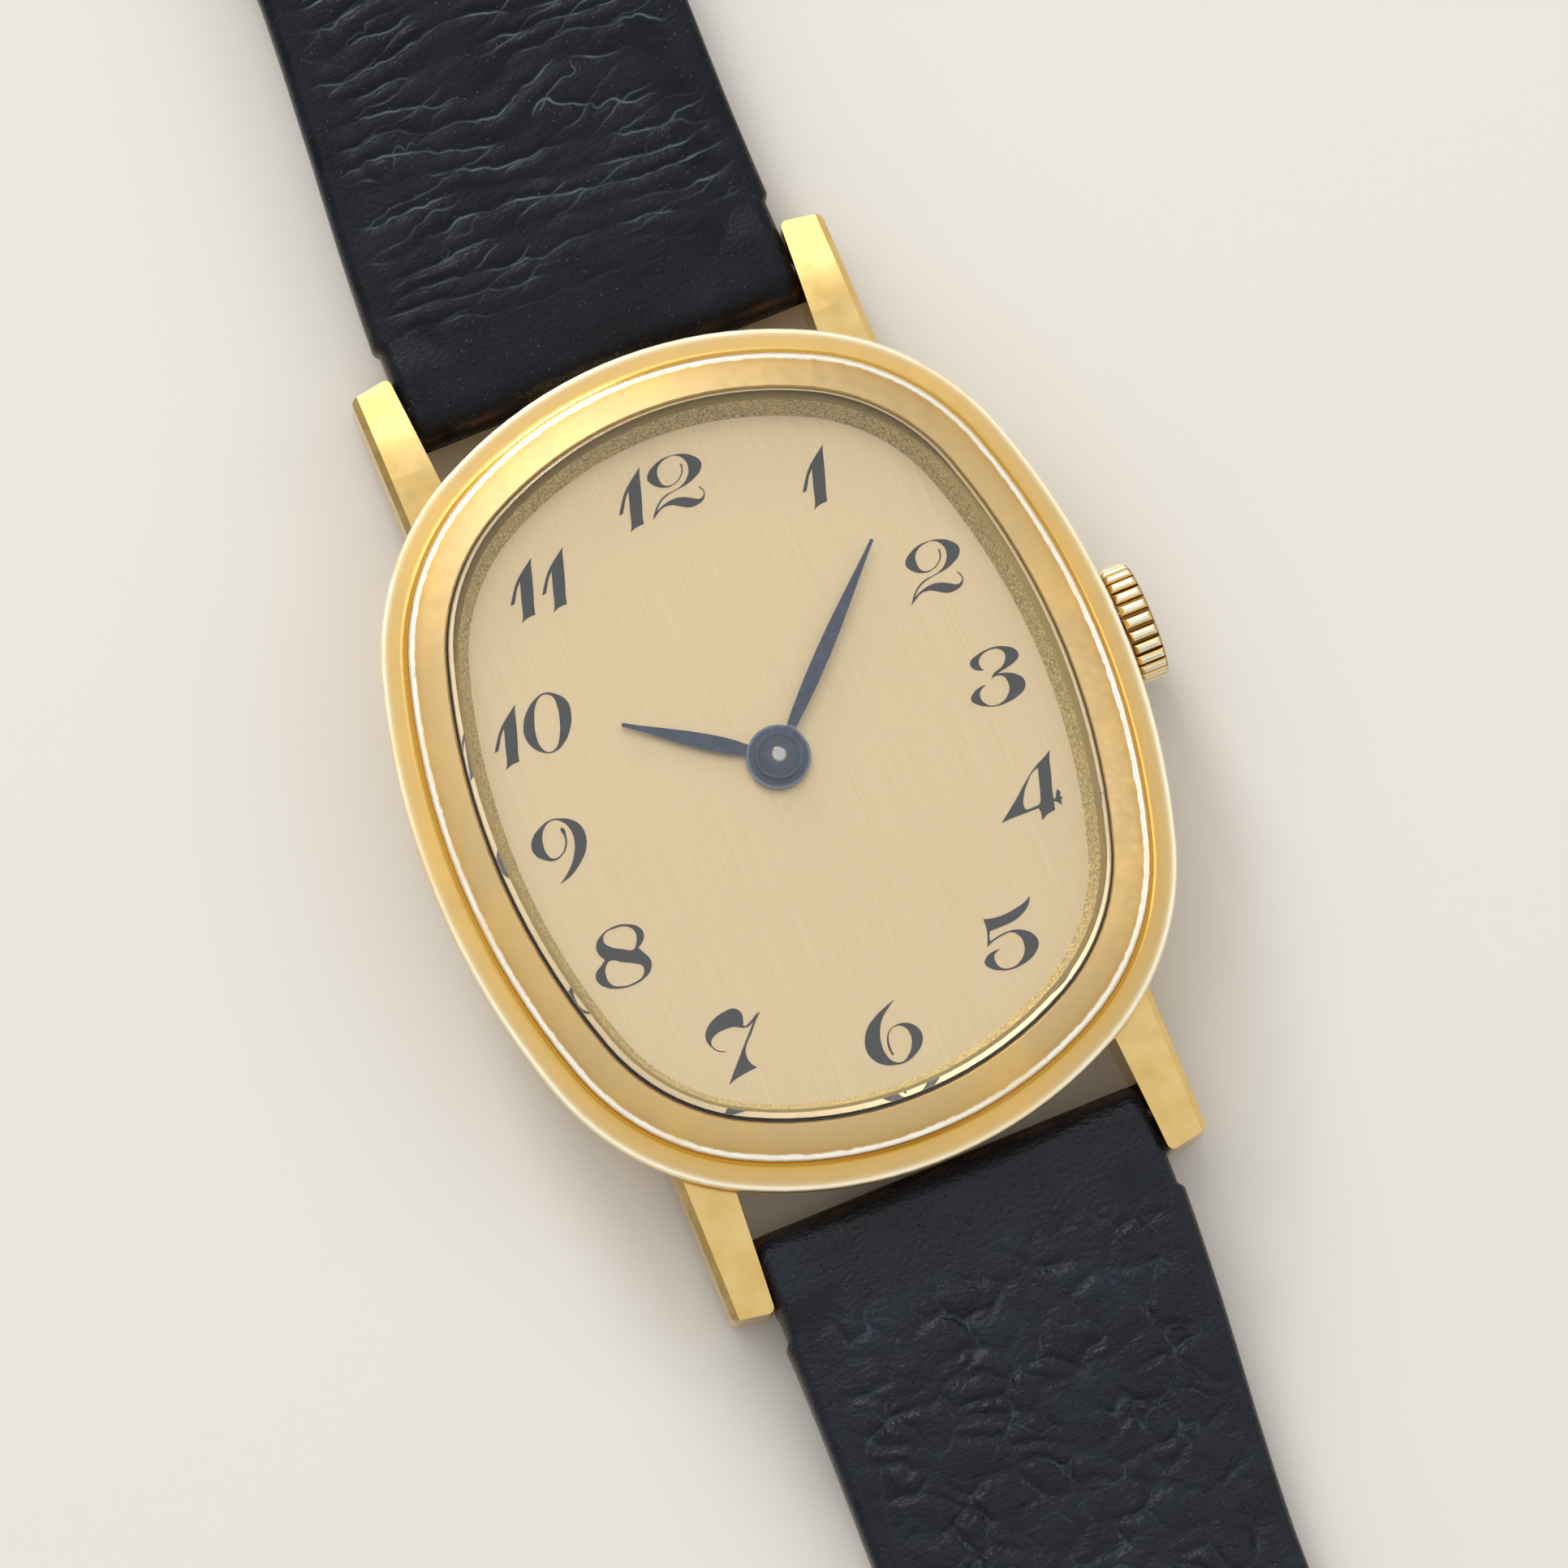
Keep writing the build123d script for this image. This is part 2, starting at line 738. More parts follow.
with BuildPart() as winding_stem:
    lying_post(stem_groove_x + stem_groove_width, stem_outer_x, stem_radius)
    lying_post(stem_groove_x, stem_groove_x + stem_groove_width, stem_groove_radius)
    lying_post(stem_square_x, stem_groove_x, stem_radius)
    with BuildSketch(Plane((stem_inner_x, 0, stem_height), x_dir=(0, 1, 0), z_dir=(1, 0, 0))):
        Rectangle(stem_square, stem_square)
    extrude(amount=stem_square_x - stem_inner_x)
    lying_post(pilot_x, stem_inner_x, pilot_radius)

# Movement layout: every axis is found from the gears that mesh there
barrel_at = polar((0, 0), centre_distance(barrel_module, barrel_teeth, centre_pinion_leaves),
                  barrel_at_angle)
third_at = polar((0, 0), centre_distance(centre_module, centre_teeth, third_leaves), third_at_angle)
fourth_at = polar(third_at, centre_distance(third_module, third_teeth, fourth_leaves), fourth_at_angle)
escape_at = polar(fourth_at, centre_distance(fourth_module, fourth_teeth, escape_leaves),
                  escape_at_angle)
pallet_at = polar(escape_at, pallet_distance, pallet_at_angle)
balance_at = polar(pallet_at, balance_distance, balance_at_angle)
winding_distance = centre_distance(ratchet_module, ratchet_teeth, crown_wheel_teeth)
crown_wheel_at = (barrel_at[0] + math.sqrt(winding_distance**2 - barrel_at[1]**2), 0)
minute_wheel_at = polar((0, 0), centre_distance(motion_module, minute_teeth, cannon_leaves),
                        minute_at_angle)
hour_module = 2 * centre_distance(motion_module, minute_teeth, cannon_leaves) / (hour_teeth
                                                                                 + minute_leaves)
ratchet_to_crown = math.degrees(math.atan2(-barrel_at[1], crown_wheel_at[0] - barrel_at[0]))
ratchet_pitch_angle = 360 / ratchet_teeth
click_angle = ratchet_to_crown + (click_gap_count + 1 / 2) * ratchet_pitch_angle
click_at = polar(barrel_at, click_distance, click_angle)

pallet_pillars = (pallet_pillar_outer, pallet_pillar_inner)
train_pillars = (train_pillar_left, train_pillar_right)
barrel_pillars = (barrel_pillar_right, barrel_pillar_left, barrel_pillar_crown)
all_pillars = pallet_pillars + train_pillars + barrel_pillars + (balance_pillar,)
train_jewels = (third_at, fourth_at, escape_at)
plate_jewels = (fourth_at, escape_at, pallet_at, balance_at)


def bridge(places, radii):
    """Flat bridge whose outline wraps the given round pads."""
    with BuildSketch() as outline:
        for place, radius in zip(places, radii):
            with Locations(place):
                Circle(radius)
        make_hull()
    with BuildPart() as solid:
        with BuildSketch(Plane.XY.offset(bridge_low)):
            add(outline.sketch)
        extrude(amount=bridge_top - bridge_low)
    return solid.part


def screw_seat(place):
    """Sunk seat and hole for one bridge screw."""
    post(place, screw_head_radius + loose_gap, bridge_low, bridge_low + screw_head_height,
         mode=Mode.SUBTRACT)
    post(place, screw_radius + press_gap, bridge_low, plate_top, mode=Mode.SUBTRACT)


def pivot_hole(place, low, top):
    """Running hole for a pivot."""
    post(place, train_pivot_radius + running_gap, low, top, mode=Mode.SUBTRACT)


# Movement ring between the round movement and the oval case
with BuildPart() as movement_ring:
    with BuildSketch(Plane.XY.offset(back_rim_top + loose_gap)):
        add(oval(cavity_inset + loose_gap))
        Circle(movement_radius + loose_gap, mode=Mode.SUBTRACT)
        with Locations((half_width / 2, 0)):
            Rectangle(half_width, 2 * stem_slot_half, mode=Mode.SUBTRACT)
    extrude(amount=plate_top - back_rim_top - loose_gap)
    for end in (1, -1):
        with BuildSketch(Plane.XY.offset(back_rim_top + loose_gap)):
            with Locations((0, end * (movement_radius + ring_pocket_depth))):
                SlotOverall(ring_pocket_width, ring_pocket_depth)
        extrude(amount=ring_pocket_height, mode=Mode.SUBTRACT)

# Main plate with wells for the wheels and the keyless parts
with BuildPart() as main_plate:
    post((0, 0), movement_radius, plate_low, plate_top)
    post((0, 0), hour_well_radius, web_top, plate_top, mode=Mode.SUBTRACT)
    post(minute_wheel_at, minute_well_radius, web_top, plate_top, mode=Mode.SUBTRACT)
    post((0, 0), centre_well_radius, plate_low, web_low, mode=Mode.SUBTRACT)
    post(barrel_at, drum_well_radius, plate_low, web_low, mode=Mode.SUBTRACT)
    post(third_at, pinion_well_radius, plate_low, web_low, mode=Mode.SUBTRACT)
    post((0, 0), train_arbor_radius + running_gap, web_low, plate_top, mode=Mode.SUBTRACT)
    post(barrel_at, arbor_pivot_radius + running_gap, web_low, plate_top, mode=Mode.SUBTRACT)
    pivot_hole(third_at, web_low, web_top)
    for place in plate_jewels:
        post(place, jewel_radius + press_gap, plate_low, plate_low + jewel_thickness,
             mode=Mode.SUBTRACT)
        pivot_hole(place, plate_low, web_low)
    for place in all_pillars:
        post(place, screw_radius + press_gap, plate_low, web_top, mode=Mode.SUBTRACT)
    for angle in dial_foot_angles:
        post(polar((0, 0), dial_foot_circle, angle), dial_foot_radius + press_gap, plate_low,
             plate_top, mode=Mode.SUBTRACT)
    with Locations(((keyless_inner_x + keyless_outer_x) / 2, 0, (plate_low + keyless_top) / 2)):
        Box(keyless_outer_x - keyless_inner_x, 2 * keyless_half, keyless_top - plate_low,
            mode=Mode.SUBTRACT)
    lying_post(pilot_x - pilot_radius, keyless_inner_x, pilot_radius + running_gap, mode=Mode.SUBTRACT)
    lying_post(keyless_outer_x, half_width, stem_bore_radius, mode=Mode.SUBTRACT)
    post(setting_lever_at, lever_well_radius, web_top, plate_top, mode=Mode.SUBTRACT)
    with Locations((lever_slot_x, 0, stem_height)):
        Box(half_width - lever_slot_x, 2 * lever_slot_half, plate_top - stem_height,
            align=(Align.MIN, Align.CENTER, Align.MIN), mode=Mode.SUBTRACT)
    with Locations(((yoke_well_low_x + yoke_well_high_x) / 2, (yoke_well_low_y + yoke_well_high_y) / 2,
                    web_top)):
        Box(yoke_well_high_x - yoke_well_low_x, yoke_well_high_y - yoke_well_low_y,
            plate_top - web_top, align=(Align.CENTER, Align.CENTER, Align.MIN), mode=Mode.SUBTRACT)
    post(setting_lever_at, stud_radius, web_top, plate_top - loose_gap)
    post(yoke_at, stud_radius, web_top, plate_top - loose_gap)
    post(minute_wheel_at, stud_radius, web_top, plate_top - loose_gap)

# Bridges and cocks, each on its own pillars
with BuildPart() as barrel_bridge:
    add(bridge((barrel_at, crown_wheel_at) + barrel_pillars,
               (barrel_pad_radius, crown_pad_radius) + 3 * (bridge_pillar_radius,)))
    for place in barrel_pillars:
        post(place, bridge_pillar_radius - loose_gap, bridge_top, plate_low)
    post(crown_wheel_at, crown_core_radius, bridge_top, winding_wheel_top)
    post(click_at, stud_radius, bridge_top, winding_wheel_top)
    post(barrel_at, arbor_lower_radius + running_gap, bridge_low, bridge_top, mode=Mode.SUBTRACT)
    post(crown_wheel_at, screw_radius + press_gap, bridge_top - screw_radius, winding_wheel_top,
         mode=Mode.SUBTRACT)
    for place in barrel_pillars:
        screw_seat(place)

with BuildPart() as train_bridge:
    add(bridge(((0, 0), third_at, fourth_at, escape_at) + train_pillars,
               3 * (train_pad_radius,) + (escape_pad_radius,) + 2 * (bridge_pillar_radius,)))
    for place in train_pillars:
        post(place, bridge_pillar_radius - loose_gap, bridge_top, plate_low)
    for place in train_jewels:
        post(place, jewel_radius + press_gap, bridge_top - jewel_thickness, bridge_top,
             mode=Mode.SUBTRACT)
        pivot_hole(place, bridge_low, bridge_top)
    pivot_hole((0, 0), bridge_low, bridge_top)
    for place in train_pillars:
        screw_seat(place)

with BuildPart() as pallet_cock:
    add(bridge((pallet_at,) + pallet_pillars, (small_pad_radius, small_pad_radius, inner_pad_radius)))
    for place, radius in zip(pallet_pillars, (small_pad_radius, inner_pad_radius)):
        post(place, radius - loose_gap, bridge_top, plate_low)
    post(pallet_at, jewel_radius + press_gap, bridge_top - jewel_thickness, bridge_top,
         mode=Mode.SUBTRACT)
    pivot_hole(pallet_at, bridge_low, bridge_top)
    for place in pallet_pillars:
        post(place, screw_radius + press_gap, bridge_low, plate_top, mode=Mode.SUBTRACT)
        post(place, small_head_radius + press_gap, bridge_low, bridge_low + screw_head_height,
             mode=Mode.SUBTRACT)

with BuildPart() as balance_cock:
    add(bridge((balance_at, balance_pillar), (escape_pad_radius, bridge_pillar_radius)))
    with BuildSketch(Plane.XY.offset(cock_underside)):
        with Locations(balance_at):
            Circle(balance_radius + loose_gap)
    extrude(amount=bridge_top - cock_underside, mode=Mode.SUBTRACT)
    post(balance_pillar, bridge_pillar_radius - loose_gap, bridge_top - loose_gap, plate_low)
    post(balance_at, jewel_radius + press_gap, cock_underside - jewel_thickness, cock_underside,
         mode=Mode.SUBTRACT)
    pivot_hole(balance_at, bridge_low, cock_underside)
    screw_seat(balance_pillar)

# Bridge screws, one group of separate solids
with BuildPart() as bridge_screws:
    for place in all_pillars + (crown_wheel_at,):
        head_radius = small_head_radius if place in pallet_pillars else screw_head_radius
        head_low = bridge_low
        shank_end = screw_end
        if place == crown_wheel_at:
            head_low = winding_wheel_top + loose_gap
            head_radius = crown_screw_radius
            post(place, screw_radius, bridge_top, head_low)
        else:
            post(place, screw_radius, head_low + screw_head_height, shank_end)
        post(place, head_radius, head_low, head_low + screw_head_height)
        slot_low = head_low if place != crown_wheel_at else head_low + screw_head_height - screw_slot
        with Locations((place[0], place[1], slot_low)):
            Box(2 * screw_head_radius + screw_slot, screw_slot, screw_slot,
                align=(Align.CENTER, Align.CENTER, Align.MIN), mode=Mode.SUBTRACT)

# Jewels, one group of separate rings
with BuildPart() as jewels:
    for place in train_jewels + (pallet_at,):
        post(place, jewel_radius, bridge_top - jewel_thickness, bridge_top)
        pivot_hole(place, bridge_top - jewel_thickness, bridge_top)
    post(balance_at, jewel_radius, cock_underside - jewel_thickness, cock_underside)
    pivot_hole(balance_at, cock_underside - jewel_thickness, cock_underside)
    for place in plate_jewels:
        post(place, jewel_radius, plate_low, plate_low + jewel_thickness)
        pivot_hole(place, plate_low, plate_low + jewel_thickness)

# Barrel: toothed drum, cover, arbor and mainspring
with BuildPart() as barrel:
    post(barrel_at, drum_radius, drum_low, drum_top - drum_cover)
    with BuildSketch(Plane.XY.offset(drum_teeth_low)):
        with Locations(barrel_at):
            add(gear(barrel_module, barrel_teeth, barrel_at_angle + 180))
    extrude(amount=drum_teeth_top - drum_teeth_low)
    post(barrel_at, drum_radius - drum_wall, drum_low + drum_wall, drum_top, mode=Mode.SUBTRACT)
    post(barrel_at, arbor_pivot_radius + running_gap, drum_low, drum_top, mode=Mode.SUBTRACT)

with BuildPart() as barrel_cover:
    post(barrel_at, drum_radius, drum_top - drum_cover, drum_top)
    post(barrel_at, arbor_pivot_radius + running_gap, drum_low, drum_top, mode=Mode.SUBTRACT)

with BuildPart() as barrel_arbor:
    post(barrel_at, arbor_radius, drum_low + drum_wall + loose_gap, drum_top - drum_cover - loose_gap)
    post(barrel_at, arbor_pivot_radius, winding_wheel_top, web_top)
    with Locations((barrel_at[0], barrel_at[1], winding_wheel_low)):
        Box(arbor_square, arbor_square, winding_wheel_top - winding_wheel_low,
            align=(Align.CENTER, Align.CENTER, Align.MIN))
    post(barrel_at, arbor_lower_radius, bridge_low, winding_wheel_low)

with BuildPart() as mainspring:
    with BuildSketch(Plane.XY.offset(drum_low + drum_wall)):
        with Locations(barrel_at):
            add(spiral(arbor_radius + loose_gap + mainspring_strip / 2, mainspring_pitch,
                       mainspring_half_turns, mainspring_strip))
    extrude(amount=mainspring_height)

# Winding wheels, click and its spring
with BuildPart() as ratchet_wheel:
    with BuildSketch(Plane.XY.offset(winding_wheel_low)):
        with Locations(barrel_at):
            add(gear(ratchet_module, ratchet_teeth, ratchet_to_crown))
            Rectangle(arbor_square + press_gap, arbor_square + press_gap, mode=Mode.SUBTRACT)
    extrude(amount=winding_wheel_top - winding_wheel_low)

with BuildPart() as crown_wheel:
    with BuildSketch(Plane.XY.offset(winding_wheel_low)):
        with Locations(crown_wheel_at):
            add(gear(ratchet_module, crown_wheel_teeth,
                     ratchet_to_crown + 180 + 180 / crown_wheel_teeth))
            Circle(crown_core_radius + running_gap, mode=Mode.SUBTRACT)
    extrude(amount=winding_wheel_top - winding_wheel_low)

with BuildPart() as click:
    with BuildSketch(Plane.XY.offset(winding_wheel_low)):
        with Locations(click_at):
            Circle(click_hub_radius)
        with BuildLine():
            beak = polar(barrel_at, click_beak_radius, click_angle)
            Polyline(beak, polar(click_at, click_hub_radius, click_angle + 90),
                     polar(click_at, click_hub_radius, click_angle - 90), close=True)
        make_face()
        with Locations(click_at):
            Circle(stud_radius + running_gap, mode=Mode.SUBTRACT)
    extrude(amount=winding_wheel_top - winding_wheel_low)

with BuildPart() as click_spring:
    with BuildSketch(Plane.XY.offset(bridge_top)):
        with Locations(click_at):
            Circle(click_hub_radius + click_spring_gap + click_spring_strip)
            Circle(click_hub_radius + click_spring_gap, mode=Mode.SUBTRACT)
        with Locations(Location((*polar(click_at, click_hub_radius, click_angle - 180), 0),
                                (0, 0, click_angle))):
            Rectangle(2 * click_hub_radius + click_spring_gap, 4 * click_hub_radius,
                      mode=Mode.SUBTRACT)
        with Locations(polar(click_at, click_hub_radius + click_spring_gap + click_spring_strip / 2,
                             click_angle)):
            Circle(click_spring_strip)
    extrude(amount=click_spring_height)

# Going train
with BuildPart() as centre_wheel:
    with BuildSketch(Plane.XY.offset(centre_disc_low)):
        add(spoked(gear(centre_module, centre_teeth, third_at_angle), centre_rim_radius, hub_radius,
                   spoke_width, wheel_spokes))
    extrude(amount=centre_disc_top - centre_disc_low)
    with BuildSketch(Plane.XY.offset(drum_low)):
        add(gear(barrel_module, centre_pinion_leaves, barrel_at_angle + 180 / centre_pinion_leaves))
    extrude(amount=centre_pinion_height)
    post((0, 0), train_arbor_radius, bridge_top + loose_gap, web_top)
    post((0, 0), train_pivot_radius, bridge_low + loose_gap, bridge_top + loose_gap)
    post((0, 0), centre_post_radius, web_top, centre_post_top)

with BuildPart() as third_wheel:
    with BuildSketch(Plane.XY.offset(third_disc_low)):
        with Locations(third_at):
            add(spoked(gear(third_module, third_teeth, fourth_at_angle), third_rim_radius, hub_radius,
                       spoke_width, wheel_spokes))
    extrude(amount=third_disc_top - third_disc_low)
    with BuildSketch(Plane.XY.offset(third_pinion_low)):
        with Locations(third_at):
            add(gear(centre_module, third_leaves, third_at_angle + 180 + 180 / third_leaves))
    extrude(amount=web_low - loose_gap - third_pinion_low)
    post(third_at, train_arbor_radius, bridge_top + loose_gap, web_low - loose_gap)
    post(third_at, train_pivot_radius, bridge_low + loose_gap, bridge_top + loose_gap)
    post(third_at, train_pivot_radius, web_low - loose_gap, web_low + pivot_length)

with BuildPart() as fourth_wheel:
    with BuildSketch(Plane.XY.offset(fourth_disc_low)):
        with Locations(fourth_at):
            add(spoked(gear(fourth_module, fourth_teeth, escape_at_angle), fourth_rim_radius,
                       hub_radius, spoke_width, wheel_spokes))
    extrude(amount=fourth_disc_top - fourth_disc_low)
    with BuildSketch(Plane.XY.offset(third_disc_low - loose_gap)):
        with Locations(fourth_at):
            add(gear(third_module, fourth_leaves, fourth_at_angle + 180 + 180 / fourth_leaves))
    extrude(amount=small_pinion_height)
    post(fourth_at, train_arbor_radius, bridge_top + loose_gap, plate_low - loose_gap)
    post(fourth_at, train_pivot_radius, bridge_low + loose_gap, bridge_top + loose_gap)
    post(fourth_at, train_pivot_radius, plate_low - loose_gap, plate_low + pivot_length)

with BuildSketch() as escape_tooth:
    with BuildLine():
        Polyline((escape_rim_radius - escape_rim_width / 2, -escape_tooth_half),
                 (escape_radius, 0), (escape_radius, escape_tooth_half),
                 (escape_rim_radius - escape_rim_width / 2, escape_tooth_half), close=True)
    make_face()

with BuildPart() as escape_wheel:
    with BuildSketch(Plane.XY.offset(escape_disc_low)):
        with Locations(escape_at):
            Circle(escape_rim_radius)
            Circle(escape_rim_radius - escape_rim_width, mode=Mode.SUBTRACT)
            Circle(escape_hub_radius)
            with PolarLocations(0, wheel_spokes):
                Rectangle(escape_rim_radius - escape_rim_width / 2, spoke_width,
                          align=(Align.MIN, Align.CENTER))
            with PolarLocations(0, escape_teeth):
                add(escape_tooth.sketch)
    extrude(amount=escape_disc_top - escape_disc_low)
    with BuildSketch(Plane.XY.offset(fourth_disc_low - loose_gap)):
        with Locations(escape_at):
            add(gear(fourth_module, escape_leaves, escape_at_angle + 180 + 180 / escape_leaves))
    extrude(amount=escape_pinion_height)
    post(escape_at, train_pivot_radius, bridge_low + loose_gap, plate_low + pivot_length)

# Pallet fork and balance
with BuildPart() as pallet_fork:
    with BuildSketch(Plane.XY.offset(fork_low)):
        with Locations(pallet_at):
            Circle(fork_hub_radius)
        for side in (1, -1):
            arm_turn = pallet_at_angle + 180 + side * fork_arm_angle
            with Locations(Location((*pallet_at, 0), (0, 0, arm_turn))):
                Rectangle(fork_arm_length, fork_arm_width, align=(Align.MIN, Align.CENTER))
        with Locations(Location((*pallet_at, 0), (0, 0, balance_at_angle))):
            Rectangle(balance_distance - fork_tail_gap, fork_arm_width, align=(Align.MIN, Align.CENTER))
    extrude(amount=fork_top - fork_low)
    post(pallet_at, train_pivot_radius, bridge_low + loose_gap, plate_low + pivot_length)

with BuildPart() as balance_wheel:
    with BuildSketch(Plane.XY.offset(balance_low)):
        with Locations(balance_at):
            Circle(balance_radius)
            Circle(balance_radius - balance_rim_width, mode=Mode.SUBTRACT)
            Rectangle(2 * balance_radius - balance_rim_width, balance_arm_width)
            Circle(balance_hub_radius)
    extrude(amount=balance_top - balance_low)
    post(balance_at, balance_hub_radius, balance_low, roller_low)
    post(balance_at, roller_radius, roller_low, roller_top)
    post(balance_at, train_pivot_radius, bridge_low + loose_gap, plate_low + pivot_length)

with BuildPart() as hairspring:
    with BuildSketch(Plane.XY.offset(hairspring_low)):
        with Locations(balance_at):
            Circle(hairspring_collet)
            Circle(train_pivot_radius, mode=Mode.SUBTRACT)
            add(spiral(hairspring_collet, hairspring_pitch, hairspring_half_turns, hairspring_strip))
    extrude(amount=hairspring_top - hairspring_low)

# Motion work under the dial
with BuildPart() as cannon_pinion:
    with BuildSketch(Plane.XY.offset(motion_low)):
        add(gear(motion_module, cannon_leaves, minute_at_angle))
    extrude(amount=hour_disc_low - loose_gap - motion_low)
    post((0, 0), cannon_radius, motion_low, minute_hand_low)
    post((0, 0), cannon_seat_radius, minute_hand_low, cannon_top)
    chamfer(cannon_pinion.edges().filter_by(GeomType.CIRCLE).sort_by(Axis.Z)[-1], cannon_edge)
    post((0, 0), centre_post_radius + running_gap, motion_low, centre_post_top + loose_gap,
         mode=Mode.SUBTRACT)
    post((0, 0), train_arbor_radius + running_gap, motion_low - loose_gap, motion_low + loose_gap,
         mode=Mode.SUBTRACT)

with BuildPart() as minute_wheel:
    with BuildSketch(Plane.XY.offset(motion_low)):
        with Locations(minute_wheel_at):
            add(spoked(gear(motion_module, minute_teeth, minute_at_angle + 180 + 180 / minute_teeth),
                       minute_rim_radius, hub_radius, spoke_width, wheel_spokes))
            Circle(stud_radius + running_gap, mode=Mode.SUBTRACT)
    extrude(amount=motion_mid - motion_low)
    with BuildSketch(Plane.XY.offset(motion_mid)):
        with Locations(minute_wheel_at):
            add(gear(hour_module, minute_leaves, minute_at_angle + 180))
            Circle(stud_radius + running_gap, mode=Mode.SUBTRACT)
    extrude(amount=plate_top - loose_gap - motion_mid)

with BuildPart() as hour_wheel:
    with BuildSketch(Plane.XY.offset(hour_disc_low)):
        add(gear(hour_module, hour_teeth, minute_at_angle + 180 / hour_teeth))
    extrude(amount=hour_disc_top - hour_disc_low)
    post((0, 0), hour_pipe_radius - press_gap, hour_disc_low,
         hour_hand_low + hand_thickness + hub_step + press_gap)
    post((0, 0), cannon_radius + running_gap, hour_disc_low, minute_hand_low, mode=Mode.SUBTRACT)

with BuildPart() as dial_washer:
    post((0, 0), washer_radius, hour_disc_top, washer_top)
    post((0, 0), hour_pipe_radius + press_gap, hour_disc_top, washer_top, mode=Mode.SUBTRACT)

# Keyless work on the stem
with BuildPart() as winding_pinion:
    with BuildSketch(Plane((winding_pinion_x, 0, stem_height), x_dir=(0, 1, 0), z_dir=(1, 0, 0))):
        add(gear(winding_module, winding_leaves, 90 + 180 / winding_leaves))
        Circle(stem_radius + running_gap, mode=Mode.SUBTRACT)
    extrude(amount=winding_pinion_length)

with BuildPart() as sliding_pinion:
    with BuildSketch(Plane((sliding_pinion_x, 0, stem_height), x_dir=(0, 1, 0), z_dir=(1, 0, 0))):
        add(gear(sliding_module, winding_leaves, 90))
    extrude(amount=sliding_pinion_length)
    with BuildSketch(Plane((sliding_groove_x, 0, stem_height), x_dir=(0, 1, 0), z_dir=(1, 0, 0))):
        Circle(crown_radius)
        Circle(sliding_groove_radius, mode=Mode.SUBTRACT)
    extrude(amount=sliding_groove_width, mode=Mode.SUBTRACT)
    with BuildSketch(Plane((sliding_pinion_x, 0, stem_height), x_dir=(0, 1, 0), z_dir=(1, 0, 0))):
        Rectangle(stem_square + 2 * press_gap, stem_square + 2 * press_gap)
    extrude(amount=sliding_pinion_length, mode=Mode.SUBTRACT)

lever_pin_at = (stem_groove_x + stem_groove_width / 2, 0)
with BuildPart() as setting_lever:
    with BuildSketch(Plane.XY.offset(motion_low)):
        with Locations(setting_lever_at):
            Circle(lever_hub_radius)
        with Locations(lever_pin_at):
            Circle(lever_head_radius)
        make_hull()
        with Locations(setting_lever_at):
            Circle(stud_radius + running_gap, mode=Mode.SUBTRACT)
    extrude(amount=lever_thickness)
    post(lever_pin_at, lever_pin_radius, stem_height + stem_groove_radius + loose_gap, motion_low)

yoke_pin_at = (sliding_groove_x + sliding_groove_width / 2, 0)
with BuildPart() as yoke:
    with BuildSketch(Plane.XY.offset(yoke_low)):
        with Locations(yoke_at):
            Circle(lever_hub_radius)
        with Locations(yoke_pin_at):
            Circle(yoke_head_radius)
        make_hull()
        with Locations(yoke_at):
            Circle(stud_radius + running_gap, mode=Mode.SUBTRACT)
    extrude(amount=plate_top - loose_gap - yoke_low)
    post(yoke_pin_at, yoke_pin_radius, stem_height + sliding_groove_radius + loose_gap, yoke_low)

# Strap: a level lead from the spring bar, a gentle S down to its lying height, then straight
def strap_bend(drop):
    """Turn of each of the two arcs of the S, in degrees."""
    return math.degrees(math.acos(1 - drop / (2 * strap_bend_radius)))


def strap_edge(drop, end_y, offset):
    """One long edge of the strap's side view, offset from its middle line."""
    bend = strap_bend(drop)
    start_y = spring_bar_y + strap_lead
    half_run = strap_bend_radius * math.sin(math.radians(bend))
    low = spring_bar_height - drop
    first = CenterArc((start_y, spring_bar_height - strap_bend_radius), strap_bend_radius + offset,
                      90, -bend)
    second = CenterArc((start_y + 2 * half_run, low + strap_bend_radius), strap_bend_radius - offset,
                       270 - bend, bend)
    Line((spring_bar_y, spring_bar_height + offset), first @ 0)
    Line(first @ 1, second @ 0)
    Line(second @ 1, (end_y, low + offset))


def strap_side(drop, end_y, below, above):
    """Side view of one layer of the strap, between two offsets of its middle line."""
    with BuildSketch() as side:
        with BuildLine():
            strap_edge(drop, end_y, below)
            strap_edge(drop, end_y, above)
            Line((spring_bar_y, spring_bar_height + below), (spring_bar_y, spring_bar_height + above))
            Line((end_y, spring_bar_height - drop + below), (end_y, spring_bar_height - drop + above))
        make_face()
    return side.sketch


def strap_plan(end_y, point_length, border):
    """Plan of the strap, inset by a border, with a rounded tip where it has one."""
    between = strap_neck_width / 2 - border
    wide = strap_width / 2 - border
    narrow = strap_end_width / 2 - border
    ear_y = spring_bar_y + strap_ear
    taper_y = spring_bar_y + strap_taper
    last_y = end_y - border * math.copysign(1, point_length)
    with BuildSketch() as plan:
        with BuildLine():
            for side in (1, -1):
                Polyline((0, spring_bar_y + border), (side * between, spring_bar_y + border),
                         (side * between, ear_y + border), (side * wide, ear_y + strap_ear_length + border),
                         (side * narrow, taper_y), (side * narrow, last_y - abs(point_length)))
            if point_length > 0:
                ThreePointArc((narrow, last_y - point_length), (0, last_y),
                              (-narrow, last_y - point_length))
            else:
                Line((narrow, last_y), (-narrow, last_y))
        make_face()
    return plan.sketch


